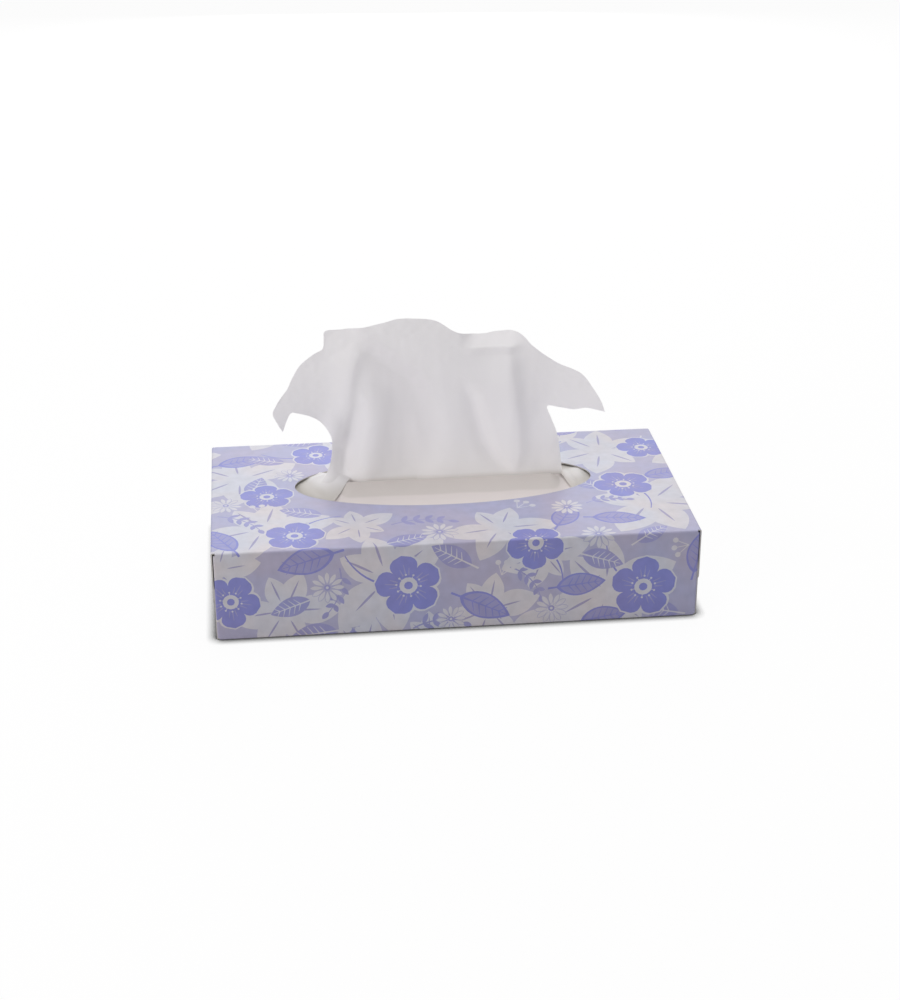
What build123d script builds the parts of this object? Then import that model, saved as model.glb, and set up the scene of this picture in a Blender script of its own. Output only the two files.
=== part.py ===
"""A flat box of facial tissues, with one tissue drawn up through the oval opening.

The carton is one folded card: four long panels make a sleeve, a glue lap closes it
inside the back panel, and each end is closed by two dust flaps under a lower and an
upper flap that overlap. Inside lies a pack of interfolded tissues. The two topmost
tissues are modelled apart, interlocked as they are in the pack: each is folded once
and holds one leg of the other, so that drawing the first one out lifts the next.

Frame: origin at the middle of the carton's underside, +X along its length,
+Y to the back panel, +Z up. All lengths are in millimetres.
"""

import os

from build123d import *

# Carton: outside sizes, and the card that it is folded from.
carton_length = 230.0
carton_depth = 125.0
carton_height = 45.0
card_thickness = 0.5
fold_radius = 0.8

# Oval opening in the top panel. It lies behind the panel's middle.
opening_length = 148.0
opening_width = 56.0
opening_offset = 7.5

# End flaps and the glue lap.
upper_flap_drop = 27.0
lower_flap_rise = 29.0
dust_flap_reach = 42.0
flap_relief = 0.9
flap_corner_radius = 4.0
glue_lap_width = 15.0
glue_lap_taper = 10.0

# Pack of tissues inside the carton.
end_clearance = 13.5
side_clearance = 9.5
headspace = 1.4
fold_groups = 10
pack_fold_bulge = 0.8

# One sheet: two plies of tissue, lying loosely.
sheet_thickness = 0.45
sheet_gap = 0.1

# Top tissue, drawn up through the opening.
pull_height = 86.0
wing_span = 165.0
wing_lean = 7.0
fold_depth = 2.8
opening_end_gap = 16.0
gather_setback = 7.0
gather_fray = 2.5
foot_flare = 8.0
foot_ledge = 1.2
drawn_lower_leg = 78.0
skirt_lap = 12.0
skirt_reach = 24.0
skirt_flare = 12.0

# Next tissue, which the top one has begun to lift.
next_upper_leg = 100.0
next_lower_leg = 100.0

cut_overrun = 1.0

# Worked out from the values above.
wall_inner_radius = fold_radius - card_thickness
inner_depth = carton_depth - 2 * card_thickness
inner_height = carton_height - 2 * card_thickness
end_layers = 3 * card_thickness
sheet_width = carton_length - 2 * end_layers - 2 * end_clearance
pack_depth = inner_depth - 2 * side_clearance
sheet_pitch = sheet_thickness + sheet_gap
pack_top = carton_height - card_thickness - headspace - 4 * sheet_pitch
pack_height = pack_top - card_thickness
next_fold_height = pack_top + sheet_gap + sheet_thickness / 2 + sheet_pitch
drawn_fold_height = next_fold_height + sheet_pitch
drawn_leg_top = drawn_fold_height + sheet_pitch + sheet_thickness / 2
drawn_leg_bottom = drawn_leg_top - sheet_thickness
fold_outer_radius = sheet_pitch + sheet_thickness / 2
fold_inner_radius = sheet_pitch - sheet_thickness / 2
gather_width = opening_length - 2 * opening_end_gap
gather_line = opening_offset + gather_setback
foot_height = (drawn_leg_top + drawn_leg_bottom) / 2
foot_front = gather_line - foot_ledge
skirt_front = foot_front - skirt_reach


def folded_panel_profile(face, panel, free_end):
    """An L: a panel's end at height panel, folded round a corner and ending at free_end."""
    step = card_thickness if free_end > panel else -card_thickness
    with BuildSketch(Plane.XY) as profile:
        with BuildLine():
            Polyline(
                (sleeve_end, panel),
                (face, panel),
                (face, free_end),
                (face - card_thickness, free_end),
                (face - card_thickness, panel + step),
                (sleeve_end, panel + step),
                close=True,
            )
        make_face()
        outer_corner = profile.vertices().sort_by_distance((face, panel))[0]
        fillet(outer_corner, fold_radius)
        inner_corner = profile.vertices().sort_by_distance((face - card_thickness, panel + step))[0]
        fillet(inner_corner, wall_inner_radius)
    return profile.sketch


def flap_outline(fold_z, free_z):
    """An end flap seen from the end: straight at its fold, rounded at its free corners."""
    with BuildSketch(Plane.XY) as outline:
        with Locations((0, (fold_z + free_z) / 2)):
            Rectangle(2 * flap_half_width, abs(fold_z - free_z))
        free_corners = outline.vertices().sort_by(lambda corner: abs(corner.Y - free_z))[:2]
        fillet(free_corners, flap_corner_radius)
    return outline.sketch


def folded_sheet_profile(fold_y, outward, upper_end, lower_end, middle_z):
    """A sheet folded once, seen from the end. outward is 1 for a fold at the back."""
    with BuildSketch(Plane.XY) as profile:
        with BuildLine():
            Line((upper_end, middle_z + fold_outer_radius), (fold_y, middle_z + fold_outer_radius))
            ThreePointArc(
                (fold_y, middle_z + fold_outer_radius),
                (fold_y + outward * fold_outer_radius, middle_z),
                (fold_y, middle_z - fold_outer_radius),
            )
            Polyline(
                (fold_y, middle_z - fold_outer_radius),
                (lower_end, middle_z - fold_outer_radius),
                (lower_end, middle_z - fold_inner_radius),
                (fold_y, middle_z - fold_inner_radius),
            )
            ThreePointArc(
                (fold_y, middle_z - fold_inner_radius),
                (fold_y + outward * fold_inner_radius, middle_z),
                (fold_y, middle_z + fold_inner_radius),
            )
            Polyline(
                (fold_y, middle_z + fold_inner_radius),
                (upper_end, middle_z + fold_inner_radius),
                (upper_end, middle_z + fold_outer_radius),
            )
        make_face()
    return profile.sketch


# Carton: the sleeve stops short of each end, where the flaps' folds begin.
upper_face = carton_length / 2
lower_face = upper_face - card_thickness
dust_face = lower_face - card_thickness
sleeve_end = dust_face - fold_radius - card_thickness

flap_half_width = carton_depth / 2 - flap_relief
lower_fold_end = fold_radius + card_thickness
upper_fold_end = carton_height - lower_fold_end

dust_flap = folded_panel_profile(dust_face, -carton_depth / 2, dust_flap_reach - carton_depth / 2)
lower_fold = folded_panel_profile(lower_face, 0, lower_fold_end)
upper_fold = folded_panel_profile(upper_face, carton_height, upper_fold_end)
lower_flap = flap_outline(lower_fold_end, lower_flap_rise)
upper_flap = flap_outline(upper_fold_end, carton_height - upper_flap_drop)

with BuildPart() as carton:
    with BuildSketch(Plane.YZ.offset(-sleeve_end)):
        with Locations((0, carton_height / 2)):
            RectangleRounded(carton_depth, carton_height, fold_radius)
            RectangleRounded(inner_depth, inner_height, wall_inner_radius, mode=Mode.SUBTRACT)
    extrude(amount=2 * sleeve_end)

    # Dust flaps, folded in first from the front and back panels.
    with BuildSketch(Plane.XY.offset(card_thickness + flap_relief)):
        add(dust_flap)
        mirror(about=Plane.XZ)
        mirror(about=Plane.YZ)
    extrude(amount=inner_height - 2 * flap_relief)

    # Lower flaps, then the upper flaps that are glued over them.
    with BuildSketch(Plane.XZ):
        add(lower_fold)
        add(upper_fold)
        mirror(about=Plane.YZ)
    extrude(amount=flap_half_width, both=True)
    for side in (-1, 1):
        with BuildSketch(Plane.YZ.offset(side * lower_face)):
            add(lower_flap)
        extrude(amount=-side * card_thickness)
        with BuildSketch(Plane.YZ.offset(side * upper_face)):
            add(upper_flap)
        extrude(amount=-side * card_thickness)

    # Glue lap: from the bottom panel's back fold, up inside the back panel.
    with BuildSketch(Plane.XZ.offset(-(inner_depth / 2))):
        with BuildLine():
            Polyline(
                (-sleeve_end, card_thickness),
                (sleeve_end, card_thickness),
                (sleeve_end - glue_lap_taper, card_thickness + glue_lap_width),
                (-sleeve_end + glue_lap_taper, card_thickness + glue_lap_width),
                close=True,
            )
        make_face()
    extrude(amount=card_thickness)

    # Oval opening through the top panel alone.
    with BuildSketch(Plane.XY.offset(carton_height - card_thickness - cut_overrun)):
        with Locations((0, opening_offset)):
            Ellipse(opening_length / 2, opening_width / 2)
    extrude(amount=card_thickness + 2 * cut_overrun, mode=Mode.SUBTRACT)

carton.part.label = "carton"


# Pack: the interfolded tissues below the two topmost ones. Its front and back are
# rows of rounded folds, and its ends are cut square.
group_height = pack_height / fold_groups
fold_face = pack_depth / 2 - pack_fold_bulge

with BuildPart() as tissue_pack:
    with BuildSketch(Plane.YZ.offset(-sheet_width / 2)):
        with BuildLine():
            for side in (1, -1):
                for group in range(fold_groups):
                    low_z = card_thickness + group * group_height
                    ThreePointArc(
                        (side * fold_face, low_z),
                        (side * (fold_face + pack_fold_bulge), low_z + group_height / 2),
                        (side * fold_face, low_z + group_height),
                    )
            Line((-fold_face, pack_top), (fold_face, pack_top))
            Line((-fold_face, card_thickness), (fold_face, card_thickness))
        make_face()
    extrude(amount=sheet_width)

tissue_pack.part.label = "tissue_pack"


# Next tissue: folded at the front, with its upper leg over the drawn tissue's lower leg.
next_fold_line = -(pack_depth / 2 - fold_outer_radius)
next_profile = folded_sheet_profile(
    next_fold_line,
    -1,
    next_fold_line + next_upper_leg,
    next_fold_line + next_lower_leg,
    next_fold_height,
)

with BuildPart() as next_tissue:
    with BuildSketch(Plane.YZ.offset(-sheet_width / 2)):
        add(next_profile)
    extrude(amount=sheet_width)

next_tissue.part.label = "next_tissue"


# Drawn tissue. Fold lines run up the sheet, ridges and valleys in turn. At the opening
# they are gathered close, and towards the hem the outer ones fan out into two wings.
# Each line: place in the gathers, place at the hem, and how far it lies behind the
# sheet's middle, or in front of it where the share is below zero.
fold_line_shares = (
    (-1.36, -1.4, 0.1),
    (-1.04, -0.86, 0.3),
    (-0.88, -0.58, -0.8),
    (-0.7, -0.43, -0.3),
    (-0.42, -0.26, 0.8),
    (-0.03, -0.01, -0.3),
    (0.27, 0.18, 0.6),
    (0.54, 0.35, -0.9),
    (0.86, 0.58, 0.6),
    (1.1, 0.84, 0.1),
    (1.36, 1.4, 0.0),
)
# Each level: height, spread from gathers to hem, fold depth, and lean of the wings.
fold_level_shares = (
    (0.0, 0.0, 0.2, 0.0),
    (0.14, 0.06, 0.7, 0.0),
    (0.4, 0.5, 1.0, 0.35),
    (0.72, 0.92, 0.75, 0.8),
    (1.06, 1.0, 0.3, 1.0),
)


def fold_section(level):
    """Where the fold lines cross one level, in plan."""
    spread, depth, lean = level[1], level[2] * fold_depth, level[3] * wing_lean
    half_gather = gather_width / 2
    points = []
    for gathered, fanned, behind in fold_line_shares:
        across = gathered * half_gather * (1 - spread) + fanned * spread * wing_span / 2
        wing_share = max(abs(across) - half_gather, 0) / (wing_span / 2 - half_gather)
        points.append((across, gather_line + behind * depth - lean * wing_share))
    return points


def on_outline(across_share, height_share):
    """A point of the sheet's outline, seen from the front."""
    return (across_share * wing_span / 2, carton_height + height_share * pull_height)


left_foot = (-gather_width / 2 - foot_flare, drawn_leg_bottom)
right_foot = (gather_width / 2 + gather_fray, drawn_leg_bottom)
right_edge = (gather_width / 2, carton_height + 0.28 * pull_height)
left_edge = (gather_fray - gather_width / 2, carton_height + 0.26 * pull_height)

with BuildSketch(Plane.XY) as drawn_outline:
    with BuildLine():
        Line(left_foot, right_foot)
        # Right side edge, and the wing that droops over it.
        Spline(right_foot, right_edge, on_outline(0.636, 0.411))
        Spline(on_outline(0.636, 0.411), on_outline(0.79, 0.395), on_outline(0.97, 0.41))
        Spline(
            on_outline(0.97, 0.41),
            on_outline(0.88, 0.57),
            on_outline(0.7, 0.67),
            on_outline(0.468, 0.847),
        )
        # Hem.
        Spline(
            on_outline(0.468, 0.847),
            on_outline(0.24, 0.845),
            on_outline(0.07, 0.89),
            on_outline(-0.2, 0.982),
            on_outline(-0.5, 0.922),
            on_outline(-0.68, 0.89),
        )
        # Left wing, with its corner hanging down, and left side edge.
        Line(on_outline(-0.68, 0.89), on_outline(-0.7, 0.8))
        Spline(on_outline(-0.7, 0.8), on_outline(-0.88, 0.67), on_outline(-1.0, 0.46))
        Polyline(on_outline(-1.0, 0.46), on_outline(-0.955, 0.35), on_outline(-0.9, 0.455))
        Spline(on_outline(-0.9, 0.455), on_outline(-0.75, 0.4), left_edge)
        Spline(left_edge, (left_edge[0] - gather_fray / 2, carton_height + foot_flare), left_foot)
    make_face()

drawn_fold_line = pack_depth / 2 - fold_outer_radius
drawn_profile = folded_sheet_profile(
    drawn_fold_line,
    1,
    drawn_fold_line - skirt_lap,
    drawn_fold_line - drawn_lower_leg,
    drawn_fold_height,
)

with BuildPart() as drawn_tissue:
    # Standing part: gathers lofted from level to level, then cut to the sheet's outline.
    for level in fold_level_shares:
        front = fold_section(level)
        back = [(x, y + sheet_thickness) for x, y in front]
        with BuildSketch(Plane.XY.offset(foot_height + level[0] * pull_height)):
            with BuildLine():
                Spline(front)
                Line(front[-1], back[-1])
                Spline(back)
                Line(back[0], front[0])
            make_face()
    loft()
    with BuildSketch(Plane.XZ):
        add(drawn_outline.sketch)
    extrude(amount=carton_depth, both=True, mode=Mode.INTERSECT)

    # Lower leg, and the fold at the back of the pack.
    with BuildSketch(Plane.YZ.offset(-sheet_width / 2)):
        add(drawn_profile)
    extrude(amount=sheet_width)

    # Upper leg: it lies round the foot of the gathers and fills the opening's two ends,
    # and its front is open between them, where the next tissue shows.
    skirt_back = drawn_fold_line - skirt_lap
    with BuildSketch(Plane.XY.offset(drawn_leg_bottom)):
        with BuildLine():
            Polyline(
                (-sheet_width / 2, skirt_back),
                (-sheet_width / 2, skirt_front),
                (-gather_width / 2, skirt_front),
                (-gather_width / 2 + skirt_flare, foot_front),
                (gather_width / 2, foot_front),
                (gather_width / 2 + skirt_flare / 2, skirt_front),
                (sheet_width / 2, skirt_front),
                (sheet_width / 2, skirt_back),
                close=True,
            )
        make_face()
    extrude(amount=sheet_thickness)

drawn_tissue.part.label = "drawn_tissue"


os.makedirs("parts", exist_ok=True)
export_step(carton.part, "parts/carton.step")
export_step(tissue_pack.part, "parts/tissue_pack.step")
export_step(next_tissue.part, "parts/next_tissue.step")
export_step(drawn_tissue.part, "parts/drawn_tissue.step")

for piece in (carton, tissue_pack, next_tissue, drawn_tissue):
    print(piece.part.label, "solids", len(piece.part.solids()), "volume", round(piece.part.volume))
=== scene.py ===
"""Looks of a flat box of facial tissues: printed carton, drawn tissue and the one below it.

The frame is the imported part: origin at the middle of the carton's underside, +X along
its length, +Y to its back and +Z up. Tables and sizes are in millimetres, apart from
those of materials, lights and camera, and meshes are made in metres.
"""

import math

import bpy
import numpy as np
from mathutils import Euler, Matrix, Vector, noise
from mathutils.geometry import delaunay_2d_cdt


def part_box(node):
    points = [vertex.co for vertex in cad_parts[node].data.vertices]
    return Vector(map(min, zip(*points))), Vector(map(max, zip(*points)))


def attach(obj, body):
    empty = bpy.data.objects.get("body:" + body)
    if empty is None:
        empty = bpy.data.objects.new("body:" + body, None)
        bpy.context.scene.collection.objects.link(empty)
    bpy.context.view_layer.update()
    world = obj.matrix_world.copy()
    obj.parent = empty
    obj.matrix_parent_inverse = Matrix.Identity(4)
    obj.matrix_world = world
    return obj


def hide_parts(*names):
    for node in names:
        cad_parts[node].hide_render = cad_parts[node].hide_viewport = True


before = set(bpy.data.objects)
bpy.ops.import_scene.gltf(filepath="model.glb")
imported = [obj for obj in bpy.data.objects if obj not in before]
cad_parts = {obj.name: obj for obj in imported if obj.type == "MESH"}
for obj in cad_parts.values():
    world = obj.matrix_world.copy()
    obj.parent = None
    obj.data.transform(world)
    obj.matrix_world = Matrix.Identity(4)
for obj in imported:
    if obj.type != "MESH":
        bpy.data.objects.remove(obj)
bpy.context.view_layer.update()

MM = 0.001

# Carton: its outside sizes come from the frame, and the rest is the folded blank's.
carton_low, carton_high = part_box("carton")
carton_length = (carton_high.x - carton_low.x) / MM
carton_depth = (carton_high.y - carton_low.y) / MM
carton_height = (carton_high.z - carton_low.z) / MM
card_thickness = 0.5
fold_radius = 0.8
upper_flap_drop = 27.0
lower_flap_rise = 29.0
flap_corner_radius = 4.0
opening_half_length = 74.0
opening_half_width = 28.0
opening_offset = 7.5

# The card at each end lies in three layers: the upper flap's face is outermost, then come
# the lower flap's and the dust flaps'. The sleeve ends where the dust flaps' folds begin.
upper_face = carton_length / 2
lower_face = upper_face - card_thickness
dust_face = lower_face - card_thickness
sleeve_end = dust_face - fold_radius

# Printed skin: how far it stands off the card, how far it runs on to the dust flaps, and
# how far it stays inside their long edges.
print_lift = 0.05
dust_strip = 3.0
dust_relief = 0.2

# The carton's face unrolled: s runs round the sleeve from the middle of the top's front
# fold, over the top and down the back, and u runs along the carton's length.
fold_arc = fold_radius * math.pi / 2
flat_depth = carton_depth - 2 * fold_radius
flat_height = carton_height - 2 * fold_radius
half_round = flat_depth + flat_height + 2 * fold_arc
top_middle = (flat_depth + fold_arc) / 2
back_middle = top_middle + (flat_depth + flat_height) / 2 + fold_arc
panel_middles = {"top": top_middle, "bottom": top_middle - half_round,
                 "front": back_middle - half_round, "back": back_middle}
flap_half_width = carton_depth / 2 - fold_radius
dust_half_width = flat_height / 2 - dust_relief
fold_steps = 6

# Inks, as sRGB levels from 0 to 255.
inks = {
    "ground": (180, 178, 204),
    "pale": (210, 208, 215),
    "leaf": (160, 159, 202),
    "flower": (141, 143, 205),
    "shade": (165, 161, 194),
}


def linear(level):
    """A colour channel from 0 to 255 in sRGB as the linear value that shaders take."""
    share = level / 255
    return share / 12.92 if share <= 0.04045 else ((share + 0.055) / 1.055) ** 2.4


def colour(levels):
    """Three sRGB levels as a shader's colour."""
    return (*(linear(level) for level in levels), 1.0)


def smooth_step(low, high, value):
    """0 below low, 1 above high, and a smooth ramp between them."""
    share = np.clip((value - low) / (high - low), 0, 1)
    return share * share * (3 - 2 * share)


def window(value, rise, fall):
    """1 between two smooth ramps, each given by its two ends, and 0 outside them."""
    return smooth_step(*rise, value) * (1 - smooth_step(*fall, value))


def bell(value, middle, width):
    """1 at the middle, and next to nothing from two widths away."""
    return np.exp(-(((value - middle) / width) ** 2))


def new_object(name, data):
    """A new object in the scene."""
    piece = bpy.data.objects.new(name, data)
    bpy.context.scene.collection.objects.link(piece)
    return piece


# Materials


def new_material(name):
    """A new material, with its node tree and its main shader."""
    material = bpy.data.materials.new(name)
    material.use_nodes = True
    tree = material.node_tree
    return material, tree, tree.nodes["Principled BSDF"]


def add_node(tree, kind, **settings):
    """A new node with its settings made."""
    node = tree.nodes.new(kind)
    for key, value in settings.items():
        setattr(node, key, value)
    return node


def noise_of_place(tree, scale, detail=4.0, stretch=(1, 1, 1)):
    """Noise by place on the object, stretched along its axes. Returns the factor's socket."""
    place = add_node(tree, "ShaderNodeTexCoord")
    mapping = add_node(tree, "ShaderNodeMapping")
    mapping.inputs["Scale"].default_value = stretch
    texture = add_node(tree, "ShaderNodeTexNoise")
    texture.inputs["Scale"].default_value = scale
    texture.inputs["Detail"].default_value = detail
    tree.links.new(place.outputs["Object"], mapping.inputs["Vector"])
    tree.links.new(mapping.outputs["Vector"], texture.inputs["Vector"])
    return texture.outputs["Fac"]


def vary_colour(tree, shader, factor, base, spread):
    """Base colour from darker to lighter by spread, following factor."""
    ramp = add_node(tree, "ShaderNodeValToRGB")
    ramp.color_ramp.elements[0].position = 0.3
    ramp.color_ramp.elements[1].position = 0.7
    for element, side in zip(ramp.color_ramp.elements, (1 - spread, 1 + spread)):
        element.color = (*(min(channel * side, 1) for channel in base[:3]), 1)
    tree.links.new(factor, ramp.inputs["Fac"])
    tree.links.new(ramp.outputs["Color"], shader.inputs["Base Color"])


def bump(tree, shader, factor, distance, strength):
    """Fine relief of the surface, following factor. The distance is in metres."""
    node = add_node(tree, "ShaderNodeBump")
    node.inputs["Distance"].default_value = distance
    node.inputs["Strength"].default_value = strength
    tree.links.new(factor, node.inputs["Height"])
    tree.links.new(node.outputs["Normal"], shader.inputs["Normal"])


def vary_roughness(tree, shader, factor, low, high):
    """Roughness from low to high, following factor."""
    span = add_node(tree, "ShaderNodeMapRange")
    span.inputs["To Min"].default_value = low
    span.inputs["To Max"].default_value = high
    tree.links.new(factor, span.inputs["Value"])
    tree.links.new(span.outputs["Result"], shader.inputs["Roughness"])


def wash(tree, shader, factor, cool, warm):
    """Tints the base colour, from cool to warm, following factor."""
    tint = add_node(tree, "ShaderNodeValToRGB")
    for element, position, shade in zip(tint.color_ramp.elements, (0.35, 0.65), (cool, warm)):
        element.position = position
        element.color = (*shade, 1)
    tinted = add_node(tree, "ShaderNodeMix", data_type="RGBA", blend_type="MULTIPLY")
    tinted.inputs["Factor"].default_value = 1.0
    base = shader.inputs["Base Color"].links[0].from_socket
    tree.links.new(factor, tint.inputs["Fac"])
    tree.links.new(base, tinted.inputs["A"])
    tree.links.new(tint.outputs["Color"], tinted.inputs["B"])
    tree.links.new(tinted.outputs["Result"], shader.inputs["Base Color"])


def print_material(name, levels):
    """Ink on coated board: mottled and washed, with a fine grain and a low sheen."""
    material, tree, shader = new_material(name)
    mottle = noise_of_place(tree, scale=220)
    grain = noise_of_place(tree, scale=1500, detail=2)
    clouds = noise_of_place(tree, scale=36, detail=2)
    vary_colour(tree, shader, mottle, colour(levels), spread=0.05)
    wash(tree, shader, clouds, cool=(0.91, 0.95, 1.0), warm=(1.0, 0.96, 0.93))
    vary_roughness(tree, shader, mottle, low=0.5, high=0.62)
    bump(tree, shader, grain, distance=0.00004, strength=0.5)
    shader.inputs["Specular IOR Level"].default_value = 0.3
    return material


def board_material():
    """Raw side and cut edges of the folding board."""
    material, tree, shader = new_material("board")
    fibres = noise_of_place(tree, scale=700, detail=6)
    vary_colour(tree, shader, fibres, colour((214, 211, 206)), spread=0.05)
    vary_roughness(tree, shader, fibres, low=0.8, high=0.95)
    bump(tree, shader, fibres, distance=0.0001, strength=0.5)
    return material


def painted_shade_by_height(tree, shader, factor, low, high, low_z, high_z):
    """Base colour that passes from low to high with height in metres, mottled by factor. The darker of the
    two colours is painted shade.
    """
    place = add_node(tree, "ShaderNodeTexCoord")
    parts = add_node(tree, "ShaderNodeSeparateXYZ")
    span = add_node(tree, "ShaderNodeMapRange", interpolation_type="SMOOTHSTEP")
    span.inputs["From Min"].default_value = low_z
    span.inputs["From Max"].default_value = high_z
    mix = add_node(tree, "ShaderNodeMix", data_type="RGBA")
    mix.inputs["A"].default_value = colour(low)
    mix.inputs["B"].default_value = colour(high)
    mottled = add_node(tree, "ShaderNodeMix", data_type="RGBA", blend_type="MULTIPLY")
    mottled.inputs["Factor"].default_value = 0.05
    tree.links.new(place.outputs["Object"], parts.inputs["Vector"])
    tree.links.new(parts.outputs["Z"], span.inputs["Value"])
    tree.links.new(span.outputs["Result"], mix.inputs["Factor"])
    tree.links.new(mix.outputs["Result"], mottled.inputs["A"])
    tree.links.new(factor, mottled.inputs["B"])
    tree.links.new(mottled.outputs["Result"], shader.inputs["Base Color"])


def tissue_material(name, low, high, heights, through, through_doubled_and_shaded):
    """Soft creped paper that lets a share of the light through, less where it is double and where shade is
    painted on its folds.
    Its colour passes from low to high between two heights; the darker of the two is painted shade."""
    material, tree, shader = new_material(name)
    cloud = noise_of_place(tree, scale=90, detail=3)
    crepe = noise_of_place(tree, scale=900, detail=3, stretch=(1, 1, 2.4))
    painted_shade_by_height(tree, shader, cloud, low, high, *heights)
    vary_roughness(tree, shader, crepe, low=0.9, high=1.0)
    bump(tree, shader, crepe, distance=0.00012, strength=0.35)
    shader.inputs["Specular IOR Level"].default_value = 0.15
    shader.inputs["Sheen Weight"].default_value = 0.15
    glow = add_node(tree, "ShaderNodeBsdfTranslucent")
    glow.inputs["Color"].default_value = colour(high)
    mix = add_node(tree, "ShaderNodeMixShader")
    # Less light comes through where the sheet lies double, and this also paints shade where its folds lie in
    # shade.
    layers = add_node(tree, "ShaderNodeAttribute", attribute_name="doubled_and_shaded")
    share = add_node(tree, "ShaderNodeMapRange")
    share.inputs["To Min"].default_value = through
    share.inputs["To Max"].default_value = through_doubled_and_shaded
    tree.links.new(layers.outputs["Fac"], share.inputs["Value"])
    tree.links.new(share.outputs["Result"], mix.inputs["Fac"])
    tree.links.new(shader.outputs["BSDF"], mix.inputs[1])
    tree.links.new(glow.outputs["BSDF"], mix.inputs[2])
    tree.links.new(mix.outputs["Shader"], tree.nodes["Material Output"].inputs["Surface"])
    return material


def pack_material():
    """Edges of many sheets that lie on each other."""
    material, tree, shader = new_material("sheet_edges")
    layers = noise_of_place(tree, scale=300, detail=2, stretch=(0.05, 0.05, 6))
    vary_colour(tree, shader, layers, colour((238, 236, 237)), spread=0.05)
    vary_roughness(tree, shader, layers, low=0.9, high=1.0)
    bump(tree, shader, layers, distance=0.0003, strength=0.6)
    return material


# Print: outlines of motifs, drawn from the origin along +X unless said otherwise. Sizes
# inside a motif are shares of its own length or radius.


def blade(length, width, fullness=1.0, roundness=1.0, steps=9):
    """A petal or leaf. More fullness moves its widest place to the tip, and less
    roundness than 1 makes its ends blunt."""
    upper = []
    for step in range(1, steps):
        share = step / steps
        half = width / 2 * math.sin(math.pi * share**fullness) ** roundness
        upper.append((length * share, half))
    lower = [(x, -y) for x, y in upper]
    return [(0.0, 0.0), *lower, (length, 0.0), *upper[::-1]]


def disc(radius, steps=12, centre=(0.0, 0.0)):
    """A round dot."""
    turns = [2 * math.pi * step / steps for step in range(steps)]
    return [(centre[0] + radius * math.cos(turn), centre[1] + radius * math.sin(turn)) for turn in turns]


def stroke(start, end, width, end_width):
    """A straight line that tapers from width to end_width."""
    start, end = Vector(start), Vector(end)
    side = (end - start).normalized().orthogonal() / 2
    corners = (start - side * width, end - side * end_width, end + side * end_width, start + side * width)
    return [tuple(corner) for corner in corners]


def on_stem(length, sag, share):
    """The point at a share of a stem that runs along +X and bows sideways by sag."""
    return (length * share, 4 * sag * share * (1 - share))


def bowed_stroke(length, sag, width, steps=8):
    """A stem that bows sideways by sag and tapers to half its width."""
    shares = [step / steps for step in range(steps + 1)]
    middle = [on_stem(length, sag, share) for share in shares]
    half = [width / 2 * (1 - 0.5 * share) for share in shares]
    lower = [(x, y - side) for (x, y), side in zip(middle, half)]
    upper = [(x, y + side) for (x, y), side in zip(middle, half)]
    return lower + upper[::-1]


def turned(outline, degrees, at=(0.0, 0.0)):
    """The outline turned about the origin, and then moved to a place."""
    cosine, sine = math.cos(math.radians(degrees)), math.sin(math.radians(degrees))
    return [(at[0] + (x * cosine - y * sine), at[1] + (x * sine + y * cosine)) for x, y in outline]


def outward(distance, degrees):
    """The place at a distance from the origin, in the direction of a turn."""
    return turned([(distance, 0)], degrees)[0]


def blossom(radius):
    """Five broad petals with pale rims and three veins each, and a ring of stamens."""
    turns = [72 * petal for petal in range(5)]
    rim = 0.05 * radius
    shapes = []
    for turn in turns:
        petal = blade(radius + rim, 0.98 * radius, fullness=1.5, roundness=0.55)
        shapes.append(("pale", turned(petal, turn)))
    for turn in turns:
        petal = blade(radius - 2 * rim, 0.82 * radius, fullness=1.5, roundness=0.55)
        shapes.append(("flower", turned(petal, turn, outward(2 * rim, turn))))
        for side in (-14, 0, 14):
            vein_end = (0.7 - abs(side) / 120) * radius
            vein = stroke((0.34 * radius, 0), (vein_end, 0), 0.05 * radius, 0.02 * radius)
            shapes.append(("leaf", turned(vein, turn + side)))
    shapes.append(("pale", disc(0.27 * radius, steps=14)))
    for stamen in range(10):
        centre = outward(0.36 * radius, 36 * stamen)
        shapes.append(("pale", disc(0.035 * radius, steps=7, centre=centre)))
    shapes.append(("flower", disc(0.13 * radius, steps=10)))
    return shapes


def daisy(radius, petals=12):
    """Slender pale petals, rimmed with the ground's colour, round a small eye."""
    turns = [360 / petals * petal for petal in range(petals)]
    shapes = []
    for turn in turns:
        rim = blade(0.82 * radius, 0.34 * radius, fullness=1.3, roundness=0.7, steps=6)
        shapes.append(("ground", turned(rim, turn, outward(0.22 * radius, turn))))
    for turn in turns:
        petal = blade(0.74 * radius, 0.26 * radius, fullness=1.3, roundness=0.7, steps=6)
        shapes.append(("pale", turned(petal, turn, outward(0.26 * radius, turn))))
    shapes.append(("leaf", disc(0.2 * radius, steps=10)))
    shapes.append(("pale", disc(0.09 * radius, steps=8)))
    return shapes


leaf_width_share = 0.5
leaf_fullness = 0.85
leaf_roundness = 0.85
vein_reach_share = 0.39


def leaf_blade(length):
    """The outline of a pointed leaf."""
    return blade(length, leaf_width_share * length, leaf_fullness, leaf_roundness, steps=12)


def leaf_veins(length, ink):
    """A midrib with a short stalk, and side veins that stop inside the leaf's edge."""
    shapes = [(ink, stroke((-0.16 * length, 0), (0.92 * length, 0), 0.045 * length, 0.012 * length))]
    for vein in range(1, 6):
        share = 0.12 + 0.13 * vein
        half_width = math.sin(math.pi * share**leaf_fullness) ** leaf_roundness
        reach = vein_reach_share * leaf_width_share * length * half_width
        for side in (-1, 1):
            end = (length * (share + 0.11), side * reach)
            shapes.append((ink, stroke((length * share, 0), end, 0.026 * length, 0.01 * length)))
    return shapes


def leaf(length):
    """A pointed leaf with pale veins."""
    return [("leaf", leaf_blade(length)), *leaf_veins(length, "pale")]


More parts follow.
